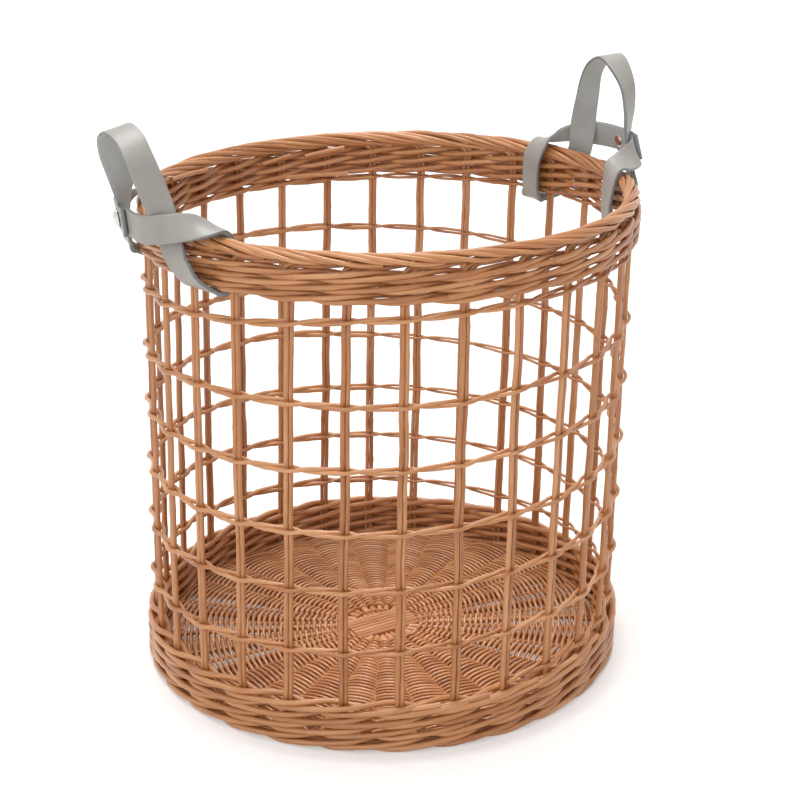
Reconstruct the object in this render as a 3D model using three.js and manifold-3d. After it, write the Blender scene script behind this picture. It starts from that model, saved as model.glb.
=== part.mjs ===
// A round wicker storage basket of steamed willow, with two tied leather handles.
// Millimetres, +Z up, origin on the floor under the middle of the base. The handles lie on X.
import * as THREE from "three";
import { mergeVertices } from "three/addons/utils/BufferGeometryUtils.js";
import Module from "manifold-3d";

const wasm = await Module();
wasm.setup();

// Air left between pieces that touch on the real basket.
const CLEARANCE = 0.3;

// Wall: pairs of upright willow rods on one circle, a stout stake and a thinner bye-stake.
const STAKE_PAIRS = 28;
const WALL_RADIUS = 193;
const STAKE_RADIUS = 2.3;
const BYE_STAKE_RADIUS = 1.85;
const PAIR_BITE = 0.5;

// The woven wall stands a little out of true: this much at the border, towards this direction.
const BORDER_LEAN = 10;
const LEAN_DIRECTION = THREE.MathUtils.degToRad(-28);

// Weaving rods: width up the wall and depth through it.
const BASE_ROD_WIDTH = 4.4;
const BASE_ROD_DEPTH = 4;
const RIM_ROD_WIDTH = 3.5;
const RIM_ROD_DEPTH = 3.2;
const ROW_ROD_WIDTH = 3.2;
const ROW_ROD_DEPTH = 3;

// How far the rods stand off where they pass in front, beside a pair, and over one another.
const WALE_BULGE = 1.3;
const WALE_SLACK = 0.2;
const BEND_ROOM = 1.2;

// Courses, from the floor up. Between the two bands one open spiral of fitching winds up the wall.
// It starts just above the base band, this many stakes round from +X. Its whole turns climb by
// these shares of the pitch, and a last part of a turn runs close under the rim band.
const BASE_ROUNDS = 4;
const RIM_ROUNDS = 3;
const SPIRAL_START_STAKES = 21;
const LAST_TURN_STAKES = 19;
const FIRST_ROW_GAP = 4;
const ROW_PITCH = 50;
const TURN_RISES = [0.9, 1, 0.96, 1.02, 0.95, 1.33];
const LAST_ROW_GAP = 10;

// Rolled border: each stake's tail runs on round the rim, inside, over and down the outside.
const BORDER_COIL_RADIUS = 4.7;
const TAIL_SPACINGS = 3.6;
const TAIL_TIP_RADIUS = 1.7;
const TAIL_STEPS = 6;

// Base: sticks crossed in the middle and woven over with rods, drawn as a ridged disc.
const BASE_DISC_CLEARANCE = 2.1;
const BASE_DISC_THICKNESS = 9;
const BASE_DISC_RIDGES = 3;
const RIDGE_DEPTH = 1;
const HUB_RADIUS = 32;
const STICK_WIDTH = 6;
const STICK_HEIGHT = 4.2;
const STICK_LIFT = 2.5;
const FOOT_LENGTH = 42;
const FOOT_HALF_HEIGHT = 1.3;
const FOOT_AIR = 0.4;

// Leather straps and the screw rivets that close them.
const STRAP_WIDTH = 21.5;
const STRAP_THICKNESS = 3;
const STRAP_STEP = 12;
const STRAP_UNDER_BAND = 2.6;
const STRAP_UNDER_ROW = 2.6;
const STRAP_OVER_BORDER = 2.2;
// The straps' paths are given further down in centimetres.
const STRAP_GRID = 10;
const RIVET_INSET = 7;
const RIVET_CAP_RADIUS = 7;
const RIVET_CAP_HEIGHT = 3;
const RIVET_BARREL_RADIUS = 2.5;
const RIVET_BORE_RADIUS = 1.7;
const SCREW_HEAD_RADIUS = 4.4;
const SCREW_HEAD_HEIGHT = 1.6;
const SCREW_SLOT = 1;

const FULL_TURN = 2 * Math.PI;
const STAKE_SPACING = (FULL_TURN * WALL_RADIUS) / STAKE_PAIRS;

// Sizes of one pair, seen along the wall: the stake stands left of the bye-stake.
const PAIR_HALF_WIDTH = STAKE_RADIUS + BYE_STAKE_RADIUS - PAIR_BITE / 2;
const STAKE_OFFSET = STAKE_RADIUS - PAIR_HALF_WIDTH;
const BYE_STAKE_OFFSET = PAIR_HALF_WIDTH - BYE_STAKE_RADIUS;
const PAIR_EDGE = PAIR_HALF_WIDTH + BEND_ROOM;

// A round of waling: two of its three rods lie in front of every stake, one above the other.
function roundSizes(width, depth) {
  const rise = (width + CLEARANCE) / 1.6;
  return {
    width,
    depth,
    rise,
    pitch: 2 * (width + CLEARANCE) + WALE_SLACK,
    behindRise: width + CLEARANCE - rise + WALE_SLACK / 4,
    behind: STAKE_RADIUS + depth / 2 + CLEARANCE,
    front: STAKE_RADIUS + depth / 2 + CLEARANCE + WALE_BULGE,
    halfHeight: rise + width / 2,
  };
}
const BASE_ROUND = roundSizes(BASE_ROD_WIDTH, BASE_ROD_DEPTH);
const RIM_ROUND = roundSizes(RIM_ROD_WIDTH, RIM_ROD_DEPTH);

// The base's edge stays inside the rods behind the stakes.
const BASE_DISC_RADIUS =
  WALL_RADIUS - BASE_ROUND.behind - BASE_ROD_DEPTH / 2 - BASE_DISC_CLEARANCE;

// Heights that follow from the courses.
const BASE_BAND_TOP = 2 * BASE_ROUND.halfHeight + (BASE_ROUNDS - 1) * BASE_ROUND.pitch;
const ROW_HEIGHTS = TURN_RISES.reduce(
  (heights, rise) => [...heights, heights.at(-1) + rise * ROW_PITCH],
  [BASE_BAND_TOP + FIRST_ROW_GAP],
);
const ROW_HALF_HEIGHT = ROW_ROD_WIDTH + CLEARANCE / 2;
const RIM_BAND_FOOT = ROW_HEIGHTS.at(-1) + LAST_ROW_GAP;
const TOP_ROW_HEIGHT = RIM_BAND_FOOT - ROW_HALF_HEIGHT - CLEARANCE;
const RIM_BAND_TOP =
  RIM_BAND_FOOT + 2 * RIM_ROUND.halfHeight + (RIM_ROUNDS - 1) * RIM_ROUND.pitch;
const BORDER_HEIGHT = RIM_BAND_TOP + CLEARANCE + STAKE_RADIUS + BORDER_COIL_RADIUS;

const willow = new THREE.MeshStandardMaterial({ color: "#b9733f", roughness: 0.5 });
const weavers = new THREE.MeshStandardMaterial({ color: "#c58450", roughness: 0.5 });
const leather = new THREE.MeshStandardMaterial({ color: "#a09c96", roughness: 0.6 });
const nickel = new THREE.MeshStandardMaterial({ color: "#c9c9c6", roughness: 0.25, metalness: 1 });
const copper = new THREE.MeshStandardMaterial({ color: "#b07a55", roughness: 0.35, metalness: 1 });

// The origin goes halfway between the middle of the base and the middle of the border.
const TO_ORIGIN = new THREE.Vector3(Math.cos(LEAN_DIRECTION), Math.sin(LEAN_DIRECTION), 0);
TO_ORIGIN.multiplyScalar(-BORDER_LEAN / 2);

const basket = new THREE.Group();

function addPiece(name, geometry, material) {
  const mesh = new THREE.Mesh(geometry, material);
  mesh.name = name;
  mesh.position.copy(TO_ORIGIN);
  basket.add(mesh);
}

// A point by its angle round the basket, its distance outside the stakes' circle and its height.
function onWall(angle, outward, height) {
  const lean = (BORDER_LEAN * height) / BORDER_HEIGHT;
  const radius = WALL_RADIUS + outward;
  return new THREE.Vector3(
    radius * Math.cos(angle) + lean * Math.cos(LEAN_DIRECTION),
    radius * Math.sin(angle) + lean * Math.sin(LEAN_DIRECTION),
    height,
  );
}

function outwardAt(angle) {
  return new THREE.Vector3(Math.cos(angle), Math.sin(angle), 0);
}

function alongAt(angle) {
  return new THREE.Vector3(-Math.sin(angle), Math.cos(angle), 0);
}

const stakeAngle = (index) => (FULL_TURN * index) / STAKE_PAIRS;
const angleOf = (along) => along / WALL_RADIUS;

// Each station's frame: forward along the path, side as asked for, and across them both.
function frameAt(stations, i, closed) {
  const last = stations.length - 1;
  const before = stations[i > 0 ? i - 1 : closed ? last : 0].at;
  const after = stations[i < last ? i + 1 : closed ? 0 : last].at;
  const forward = after.clone().sub(before).normalize();
  const side = stations[i].side.clone();
  side.addScaledVector(forward, -side.dot(forward)).normalize();
  return { forward, side, across: forward.clone().cross(side) };
}

// Skins a rod or strap through its stations. A section lists corners as [side, across], turning left.
function sweep(stations, closed = false) {
  const corners = stations[0].section.length;
  const position = [];
  stations.forEach((station, i) => {
    const { side, across } = frameAt(stations, i, closed);
    for (const [a, b] of station.section) {
      const corner = station.at.clone().addScaledVector(side, a).addScaledVector(across, b);
      position.push(corner.x, corner.y, corner.z);
    }
  });
  const index = [];
  const rings = closed ? stations.length : stations.length - 1;
  for (let i = 0; i < rings; i++) {
    const here = i * corners;
    const next = ((i + 1) % stations.length) * corners;
    for (let j = 0; j < corners; j++) {
      const k = (j + 1) % corners;
      index.push(here + j, here + k, next + k, here + j, next + k, next + j);
    }
  }
  if (!closed) {
    const end = (stations.length - 1) * corners;
    for (let j = 1; j < corners - 1; j++) {
      index.push(0, j + 1, j);
      index.push(end, end + j, end + j + 1);
    }
  }
  const geometry = new THREE.BufferGeometry();
  geometry.setAttribute("position", new THREE.Float32BufferAttribute(position, 3));
  geometry.setIndex(index);
  return geometry;
}

function toSolid(geometry) {
  const bare = geometry.clone();
  bare.deleteAttribute("normal");
  bare.deleteAttribute("uv");
  const merged = mergeVertices(bare, 1e-4);
  return new wasm.Manifold(
    new wasm.Mesh({
      numProp: 3,
      vertProperties: new Float32Array(merged.attributes.position.array),
      triVerts: new Uint32Array(merged.index.array),
    }),
  );
}

function toGeometry(solid) {
  const mesh = solid.getMesh();
  const geometry = new THREE.BufferGeometry();
  geometry.setAttribute("position", new THREE.Float32BufferAttribute(mesh.vertProperties, 3));
  geometry.setIndex(new THREE.Uint32BufferAttribute(mesh.triVerts, 1));
  return geometry;
}

// A four-sided rod with an edge outwards; flat sets its half height apart from its half width.
function rodSection(radius, flat = radius) {
  return [
    [radius, 0],
    [0, flat],
    [-radius, 0],
    [0, -flat],
  ];
}

// A three-sided weaving rod with its ridge outwards.
function weaverSection(width, depth) {
  return [
    [depth / 2, 0],
    [-depth / 2, width / 2],
    [-depth / 2, -width / 2],
  ];
}

// A stake below the border: from a flattened foot beside its base stick, up in the wall.
function stakeStations(angle, top) {
  const side = alongAt(angle);
  const station = (across, outward, height, flat) => ({
    at: onWall(angle, outward, height).addScaledVector(side, across),
    side,
    section: rodSection(STAKE_RADIUS, flat),
  });
  const foot = Math.min(FOOT_HALF_HEIGHT, STAKE_RADIUS);
  const footHeight = CLEARANCE + foot;
  const besideStick = -(STICK_WIDTH / 2 + CLEARANCE + STAKE_RADIUS);
  const footTip = BASE_DISC_RADIUS - WALL_RADIUS - FOOT_LENGTH;
  return [
    station(1.35 * besideStick, footTip, footHeight, foot),
    station(0.95 * besideStick, -1.1 * STAKE_RADIUS, footHeight, foot),
    station(STAKE_OFFSET, 0, footHeight + 2.1 * STAKE_RADIUS, STAKE_RADIUS),
    station(STAKE_OFFSET, 0, top, STAKE_RADIUS),
  ];
}

// The bye-stake is pushed in beside its stake, down into the base's waling.
function byeStakeStations(angle) {
  const side = alongAt(angle);
  const section = [
    [-BYE_STAKE_RADIUS, 0],
    [0.5 * BYE_STAKE_RADIUS, -0.85 * BYE_STAKE_RADIUS],
    [0.5 * BYE_STAKE_RADIUS, 0.85 * BYE_STAKE_RADIUS],
  ];
  return [BASE_ROUND.halfHeight + STAKE_RADIUS, BORDER_HEIGHT - BORDER_COIL_RADIUS].map((height) => ({
    at: onWall(angle, 0, height).addScaledVector(side, BYE_STAKE_OFFSET),
    side,
    section,
  }));
}

// A tail's middle line in the border, by how many stake spacings it has run.
function tailStation(angle, run) {
  const coil = (-Math.PI / 2) * (1 + run);
  const outward = BORDER_COIL_RADIUS * Math.cos(coil);
  const height = BORDER_HEIGHT + BORDER_COIL_RADIUS * Math.sin(coil);
  const at = angle + angleOf(STAKE_OFFSET) + run * stakeAngle(1);
  const taper = STAKE_RADIUS + ((TAIL_TIP_RADIUS - STAKE_RADIUS) * run) / TAIL_SPACINGS;
  return { at: onWall(at, outward, height), side: outwardAt(at), section: rodSection(taper) };
}

function stakePair(index) {
  const angle = stakeAngle(index);
  const upright = stakeStations(angle, BORDER_HEIGHT - BORDER_COIL_RADIUS - 1.6 * STAKE_RADIUS);
  const bend = tailStation(angle, 0.02);
  bend.side = alongAt(angle);
  bend.at.z += 0.15 * STAKE_RADIUS;
  // Turning from upright to level, the section's leading edge passes from along to downwards.
  const tail = Array.from({ length: TAIL_STEPS }, (_, i) => ({
    ...tailStation(angle, ((i + 1) * TAIL_SPACINGS) / TAIL_STEPS),
    side: new THREE.Vector3(0, 0, -1),
  }));
  const stake = toSolid(sweep([...upright, bend, ...tail]));
  return toGeometry(stake.add(toSolid(sweep(byeStakeStations(angle)))));
}

for (let i = 0; i < STAKE_PAIRS; i++) {
  addPiece(`stake_pair_${String(i + 1).padStart(2, "0")}`, stakePair(i), willow);
}

// The spiral's height where it has passed this many stakes.
function rowHeight(passes) {
  const turn = Math.min(Math.floor(passes / STAKE_PAIRS), TURN_RISES.length - 1);
  const climbed = (passes / STAKE_PAIRS - turn) * TURN_RISES[turn] * ROW_PITCH;
  return Math.min(ROW_HEIGHTS[turn] + climbed, TOP_ROW_HEIGHT);
}

// Fitching: two rods twist about each other and trap every pair between them. Each rod is drawn in
// pieces of a turn or less, and each piece starts and ends behind a stake, as a new rod is joined in.
function fitchStrand(from, to, isBehind) {
  const reach = STAKE_RADIUS + ROW_ROD_DEPTH / 2 + CLEARANCE;
  const lift = (ROW_ROD_WIDTH + CLEARANCE) / 2;
  const section = weaverSection(ROW_ROD_WIDTH, ROW_ROD_DEPTH);
  const stations = [];
  const place = (pass, along, face, rise) => {
    const passes = pass + along / STAKE_SPACING;
    const angle = stakeAngle(SPIRAL_START_STAKES + passes);
    stations.push({
      at: onWall(angle, face * reach, rowHeight(passes) + rise),
      side: outwardAt(angle),
      section,
    });
  };
  place(from, CLEARANCE, -1, 0);
  place(from, PAIR_EDGE, -1, -lift);
  for (let pass = from + 1; pass < to; pass++) {
    const face = isBehind(pass) ? -1 : 1;
    place(pass, -PAIR_EDGE, face, -face * lift);
    place(pass, PAIR_EDGE, face, face * lift);
  }
  place(to, -PAIR_EDGE, -1, lift);
  place(to, -CLEARANCE, -1, 0);
  return sweep(stations);
}

const SPIRAL_PASSES = TURN_RISES.length * STAKE_PAIRS + LAST_TURN_STAKES;
for (const [strand, letter] of ["a", "b"].entries()) {
  const isBehind = (pass) => (pass + strand) % 2 === 0;
  const joint = (pass) => (isBehind(pass) ? pass : pass + 1);
  for (let row = 0; row <= TURN_RISES.length; row++) {
    const from = joint(row * STAKE_PAIRS);
    const to = joint(Math.min((row + 1) * STAKE_PAIRS, SPIRAL_PASSES - 1));
    addPiece(`fitching_row_${row + 1}_strand_${letter}`, fitchStrand(from, to, isBehind), weavers);
  }
}

// Waling: three rods each pass in front of two pairs and behind one. One pair more than a whole
// number of repeats brings each rod to the next one's start, so three turns make one closed loop.
function waleRound(height, sizes, insideLift, phase) {
  const section = weaverSection(sizes.width, sizes.depth);
  const stations = [];
  const passes = 3 * STAKE_PAIRS;
  const place = (pass, edge, outward, rise) => {
    const angle = stakeAngle(pass) + angleOf(edge * PAIR_EDGE);
    stations.push({ at: onWall(angle, outward, height + rise), side: outwardAt(angle), section });
  };
  for (let pass = 0; pass < passes; pass++) {
    const step = (pass + phase) % 3;
    if (step === 0) place(pass, -1, sizes.front, -sizes.rise);
    if (step === 1) place(pass, 1, sizes.front, sizes.rise);
    if (step === 2) {
      place(pass, -1, -sizes.behind, insideLift + sizes.behindRise);
      place(pass, 1, -sizes.behind, insideLift - sizes.behindRise);
    }
  }
  return sweep(stations, true);
}

// Inside, the base rounds ride over the stakes' feet.
const FOOT_RIDE =
  2 * FOOT_HALF_HEIGHT + 2 * CLEARANCE + BASE_ROUND.behindRise - BASE_ROUND.rise + FOOT_AIR;
for (let i = 0; i < BASE_ROUNDS; i++) {
  const height = BASE_ROUND.halfHeight + i * BASE_ROUND.pitch;
  addPiece(`base_wale_round_${i + 1}`, waleRound(height, BASE_ROUND, FOOT_RIDE, i), weavers);
}
for (let i = 0; i < RIM_ROUNDS; i++) {
  const height = RIM_BAND_FOOT + RIM_ROUND.halfHeight + i * RIM_ROUND.pitch;
  addPiece(`rim_wale_round_${i + 1}`, waleRound(height, RIM_ROUND, 0, i), weavers);
}

// A block lying along a radius, from one radius to another.
function radialBlock(angle, from, to, along, width, low, high) {
  const block = new THREE.BoxGeometry(to - from, width, high - low);
  block.translate((from + to) / 2, along, (low + high) / 2);
  block.rotateZ(angle);
  return toSolid(block);
}

// The base sticks: bound together in the middle, their ends opened out like spokes.
function baseSticks() {
  const middle = new THREE.CylinderGeometry(HUB_RADIUS, HUB_RADIUS, STICK_HEIGHT, STAKE_PAIRS);
  middle.rotateX(Math.PI / 2);
  middle.rotateZ(stakeAngle(0.25));
  middle.translate(0, 0, STICK_LIFT + STICK_HEIGHT / 2);
  let sticks = toSolid(middle);
  const tip = BASE_DISC_RADIUS - 1;
  for (let i = 0; i < STAKE_PAIRS; i++) {
    const angle = stakeAngle(i);
    sticks = sticks.add(
      radialBlock(angle, 0.9 * HUB_RADIUS, tip, 0, STICK_WIDTH, STICK_LIFT, STICK_LIFT + STICK_HEIGHT),
    );
  }
  return toGeometry(sticks);
}

// The base's weave: a ridged disc with a channel round every stick, open below where the feet lie.
function baseWeave() {
  const opening = HUB_RADIUS + CLEARANCE;
  const footStart = BASE_DISC_RADIUS - FOOT_LENGTH - 4 * CLEARANCE;
  const footRoof = 2 * FOOT_HALF_HEIGHT + 2 * CLEARANCE;
  const ridge = (BASE_DISC_RADIUS - opening) / BASE_DISC_RIDGES;
  const over = Array.from({ length: BASE_DISC_RIDGES }, (_, i) => [
    [opening + i * ridge, BASE_DISC_THICKNESS - RIDGE_DEPTH],
    [opening + (i + 0.3) * ridge, BASE_DISC_THICKNESS],
  ]).flat();
  const outline = [
    [opening, 0],
    [footStart, 0],
    [footStart, footRoof],
    [BASE_DISC_RADIUS, footRoof],
    [BASE_DISC_RADIUS, BASE_DISC_THICKNESS - RIDGE_DEPTH],
    ...over.reverse(),
    [opening, 0],
  ];
  const profile = outline.map(([radius, height]) => new THREE.Vector2(radius, height));
  const disc = new THREE.LatheGeometry(profile, STAKE_PAIRS);
  disc.rotateX(Math.PI / 2);
  disc.rotateZ(stakeAngle(0.25));
  let weave = toSolid(disc);
  const wide = STICK_WIDTH + 2 * CLEARANCE;
  const low = STICK_LIFT - CLEARANCE;
  const high = STICK_LIFT + STICK_HEIGHT + CLEARANCE;
  for (let i = 0; i < STAKE_PAIRS; i++) {
    const past = BASE_DISC_RADIUS + 5;
    weave = weave.subtract(radialBlock(stakeAngle(i), 0.95 * HUB_RADIUS, past, 0, wide, low, high));
  }
  return toGeometry(weave);
}

addPiece("base_sticks", baseSticks(), willow);
addPiece("base_weave", baseWeave(), weavers);

// Handles. Each strap is tied round the rim band in a loose cow hitch. It is drawn in its own
// measures: along the rim, outside the stakes' circle, and up from the middle of the border.
const GAP_MIDDLE = 1.5 * STAKE_SPACING;
const UNDER_BAND = RIM_BAND_FOOT - BORDER_HEIGHT - STRAP_THICKNESS / 2 - STRAP_UNDER_BAND;
const UNDER_ROW =
  TOP_ROW_HEIGHT - ROW_HALF_HEIGHT - BORDER_HEIGHT - STRAP_THICKNESS / 2 - STRAP_UNDER_ROW;
const OVER_BORDER =
  BORDER_COIL_RADIUS + STAKE_RADIUS + STRAP_THICKNESS / 2 + STRAP_OVER_BORDER;
const LAYER = STRAP_THICKNESS + CLEARANCE;

// Lengths in these tables are in centimetres. A hoop's leg is given from the middle of the handle,
// and the rest of it from the middle of the gap between stakes that it goes through.
const HANDLES = [
  {
    name: "handle_left",
    angle: Math.PI,
    lean: 0.23,
    bandHeight: 0.4,
    arch: [
      [2.7, 3.1],
      [2.4, 4.7],
      [1.8, 6.2],
      [0.6, 7.2],
      [-1, 7.6],
      [-2, 6.9],
      [-2.4, 5.6],
      [-2.4, 4.2],
      [-2.6, 2.8],
    ],
    near: { leg: 3, under: 0, inner: 1.5, cross: 1.5, depth: UNDER_BAND },
    far: { leg: 3.2, under: 0, inner: 1.4, cross: 1.1, depth: UNDER_BAND },
    lapEnd: -5.2,
  },
  {
    name: "handle_right",
    angle: 0,
    lean: -0.04,
    bandHeight: 1.7,
    arch: [
      [2, 3.3],
      [1.6, 5.2],
      [1.2, 7],
      [0.2, 8.5],
      [-1.3, 9.2],
      [-2.8, 8.5],
      [-3.6, 7],
      [-3.8, 5.2],
      [-3.9, 3.3],
    ],
    near: { leg: 2.3, under: -0.5, inner: -0.4, cross: -1.1, depth: UNDER_ROW },
    far: { leg: 4, under: -0.2, inner: 0.7, cross: 0.2, depth: UNDER_ROW },
    lapEnd: -5,
  },
];

// One side's hoop, from the leg's foot outside the rim, under the band, up inside and over the top.
function hoop(side, sizes, bandHeight) {
  const leg = sizes.leg * STRAP_GRID;
  const under = GAP_MIDDLE + sizes.under * STRAP_GRID;
  const inner = GAP_MIDDLE + sizes.inner * STRAP_GRID;
  const cross = GAP_MIDDLE + sizes.cross * STRAP_GRID;
  const bottom = sizes.depth / STRAP_GRID;
  const top = OVER_BORDER / STRAP_GRID;
  const drop = (share) => leg + (under - leg) * share;
  const point = (along, outward, up, wide) => ({
    along: side * along,
    outward: outward * STRAP_GRID,
    up: up * STRAP_GRID,
    wide: [-side * wide[0], wide[1], wide[2]],
  });
  return [
    point(leg, 1.5, 1.5, [0.88, 0.45, -0.1]),
    point(drop(0.1), 1.4, 0, [0.97, 0.2, 0]),
    point(drop(0.45), 1.45, -1.6, [1, 0, 0.15]),
    point(drop(0.8), 1.22, bottom + 0.72, [1, 0, 0.1]),
    point(under, 0, bottom, [1, 0, 0]),
    point((under + inner) / 2, -1, bottom + 0.3, [1, 0, 0]),
    point(inner, -1.55, -2.2, [1, 0, 0]),
    point(inner + 0.2 * STRAP_GRID, -1.55, -0.6, [1, -0.1, 0.1]),
    point(cross, -0.9, top + 0.1, [0.9, -0.35, 0.3]),
    point(cross - 0.8 * STRAP_GRID, 0.35, top + 0.45, [0.72, -0.45, 0.5]),
    point(cross - 2 * STRAP_GRID, 1.3, Math.max(top, bandHeight - 0.2), [0.3, -0.4, 0.85]),
  ];
}

// The whole strap's control points, from the outer end of the lap to the inner one.
function strapPoints(handle) {
  const { arch, lean, near, far, bandHeight, lapEnd } = handle;
  const band = (along, outward, layer = 0) => ({
    along: along * STRAP_GRID,
    outward: outward * STRAP_GRID + layer,
    up: bandHeight * STRAP_GRID,
    wide: [0, -0.25, 1],
  });
  const crown = arch.map(([along, up], i) => {
    const twist = Math.min(1, Math.min(i, arch.length - 1 - i) / 2);
    const turned = 0.55 * (1 - twist) * Math.sign(i - arch.length / 2);
    return {
      along: along * STRAP_GRID,
      outward: (1.3 + lean * (up - 1)) * STRAP_GRID,
      up: up * STRAP_GRID,
      wide: [turned, 1, -lean],
    };
  });
  const lapStart = -1.4;
  const lapMiddle = (lapEnd + lapStart) / 2;
  return [
    band(lapEnd, 2.05, LAYER),
    band(lapMiddle, 2.3, LAYER),
    band(lapStart, 2.35, LAYER),
    band(near.leg - 1.4, 2.55),
    band(near.leg + 0.8, 2.2),
    ...hoop(1, near, bandHeight).reverse(),
    ...crown,
    ...hoop(-1, far, bandHeight),
    band(lapEnd + 0.2, 2.05),
    band(lapMiddle, 2.3),
    band(lapStart, 2.35),
  ];
}

// Turns the control points into even stations along a smooth curve.
function strapStations(handle) {
  const points = strapPoints(handle);
  const inSpace = ({ along, outward, up }) =>
    onWall(handle.angle + angleOf(along), outward, BORDER_HEIGHT + up);
  const curve = new THREE.CatmullRomCurve3(points.map(inSpace), false, "centripetal");
  const widths = points.map(({ along, wide }) => {
    const angle = handle.angle + angleOf(along);
    return alongAt(angle)
      .multiplyScalar(wide[0])
      .addScaledVector(outwardAt(angle), wide[1])
      .add(new THREE.Vector3(0, 0, wide[2]));
  });
  const a = STRAP_WIDTH / 2;
  const b = STRAP_THICKNESS / 2;
  const section = [
    [a, -b],
    [a, b],
    [-a, b],
    [-a, -b],
  ];
  const steps = Math.ceil(curve.getLength() / STRAP_STEP);
  const stations = [];
  for (let i = 0; i <= steps; i++) {
    const t = curve.getUtoTmapping(i / steps);
    const span = t * (points.length - 1);
    const k = Math.min(Math.floor(span), points.length - 2);
    const side = widths[k].clone().lerp(widths[k + 1], span - k);
    stations.push({ at: curve.getPoint(t), side, section });
  }
  return stations;
}

// Where the rivet goes: a frame with its origin in the inner layer and Z out through the lap.
function rivetFrame(stations) {
  const last = stations.length - 1;
  const { forward, side, across } = frameAt(stations, last, false);
  const at = stations[last].at.clone().addScaledVector(forward, -RIVET_INSET);
  const out = across.clone();
  if (out.dot(new THREE.Vector3(at.x, at.y, 0)) < 0) out.negate();
  const frame = new THREE.Matrix4().makeBasis(side.clone().cross(out), side, out);
  frame.setPosition(at);
  return frame;
}

function turned(outline, segments) {
  const profile = outline.map(([radius, height]) => new THREE.Vector2(radius, height));
  const shape = new THREE.LatheGeometry(profile, segments);
  shape.rotateX(Math.PI / 2);
  return shape;
}

// The rivet's domed cap with its hollow barrel, which ends level with the inner leather face.
function rivetCap(frame) {
  const face = 1.5 * STRAP_THICKNESS + 2 * CLEARANCE;
  const end = -STRAP_THICKNESS / 2;
  const cap = turned(
    [
      [0, 0],
      [RIVET_BORE_RADIUS, 0],
      [RIVET_BORE_RADIUS, end],
      [RIVET_BARREL_RADIUS, end],
      [RIVET_BARREL_RADIUS, face],
      [RIVET_CAP_RADIUS, face],
      [RIVET_CAP_RADIUS * 0.92, face + 0.45 * RIVET_CAP_HEIGHT],
      [RIVET_CAP_RADIUS * 0.6, face + 0.85 * RIVET_CAP_HEIGHT],
      [0, face + RIVET_CAP_HEIGHT],
    ],
    12,
  );
  return cap.applyMatrix4(frame);
}

// The slotted screw that closes the rivet from inside.
function rivetScrew(frame) {
  const face = -STRAP_THICKNESS / 2 - CLEARANCE;
  const shank = RIVET_BORE_RADIUS - CLEARANCE;
  const screw = turned(
    [
      [0, face - SCREW_HEAD_HEIGHT],
      [SCREW_HEAD_RADIUS * 0.85, face - SCREW_HEAD_HEIGHT],
      [SCREW_HEAD_RADIUS, face - 0.5 * SCREW_HEAD_HEIGHT],
      [SCREW_HEAD_RADIUS, face],
      [shank, face],
      [shank, -CLEARANCE],
      [0, -CLEARANCE],
    ],
    12,
  );
  const slot = new THREE.BoxGeometry(3 * SCREW_HEAD_RADIUS, SCREW_SLOT, SCREW_HEAD_HEIGHT);
  slot.translate(0, 0, face - SCREW_HEAD_HEIGHT);
  return toGeometry(toSolid(screw).subtract(toSolid(slot))).applyMatrix4(frame);
}

for (const handle of HANDLES) {
  const stations = strapStations(handle);
  const frame = rivetFrame(stations);
  const hole = new THREE.CylinderGeometry(1, 1, 4 * STRAP_THICKNESS, 12);
  hole.scale(RIVET_BARREL_RADIUS + 2 * CLEARANCE, 1, RIVET_BARREL_RADIUS + 2 * CLEARANCE);
  hole.rotateX(Math.PI / 2);
  hole.translate(0, 0, LAYER / 2);
  hole.applyMatrix4(frame);
  const strap = toSolid(sweep(stations)).subtract(toSolid(hole));
  addPiece(`${handle.name}_strap`, toGeometry(strap), leather);
  addPiece(`${handle.name}_rivet_cap`, rivetCap(frame), nickel);
  addPiece(`${handle.name}_rivet_screw`, rivetScrew(frame), copper);
}

export default basket;
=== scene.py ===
import math

import bpy
import numpy as np
from mathutils import Matrix, Vector


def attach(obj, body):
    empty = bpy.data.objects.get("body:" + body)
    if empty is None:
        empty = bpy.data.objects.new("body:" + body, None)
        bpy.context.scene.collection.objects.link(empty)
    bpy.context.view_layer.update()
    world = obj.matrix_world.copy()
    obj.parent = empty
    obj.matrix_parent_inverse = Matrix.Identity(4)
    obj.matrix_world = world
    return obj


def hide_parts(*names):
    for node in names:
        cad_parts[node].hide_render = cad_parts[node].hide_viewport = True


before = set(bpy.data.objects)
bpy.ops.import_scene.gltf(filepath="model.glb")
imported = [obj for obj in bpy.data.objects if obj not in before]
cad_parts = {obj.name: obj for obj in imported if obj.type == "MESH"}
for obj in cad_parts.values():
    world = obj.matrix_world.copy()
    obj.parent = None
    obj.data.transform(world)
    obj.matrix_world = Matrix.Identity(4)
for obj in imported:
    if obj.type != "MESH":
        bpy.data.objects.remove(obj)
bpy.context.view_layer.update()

# The base sticks. Seven willow sticks cross seven others in the middle of the base and are opened
# out like spokes, so that 28 ends reach the wall. They are cut from the thick end of the rod and
# lie flat in the weave. Here and below, sizes are in millimetres and heights are from the floor.
STAKES = 28
SPACING = 2 * math.pi / STAKES
WALL_R = 193.0
BORDER_Z = 392.2
# The wall leans a little: the border stands this far out of line with the base, to this side.
LEAN = 10.0
LEAN_TURN = math.radians(-28)
BASE_MID_Z = 4.6
BASE_EDGE_R = 184.0
HUB_R = 30.0
STICK_POINTS = 40
STICK_BUTT_R = 2.7
STICK_TIP_R = 2.2
CROSS_STICKS = 7
CROSS_PITCH = 4.7
CROSS_LIFT = 1.3
CROSS_POINTS = 22
CROSS_BUTT_R = 2.4
CROSS_TIP_R = 2.3
MM = 0.001
SEED = 28

rng = np.random.default_rng(SEED)


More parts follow.
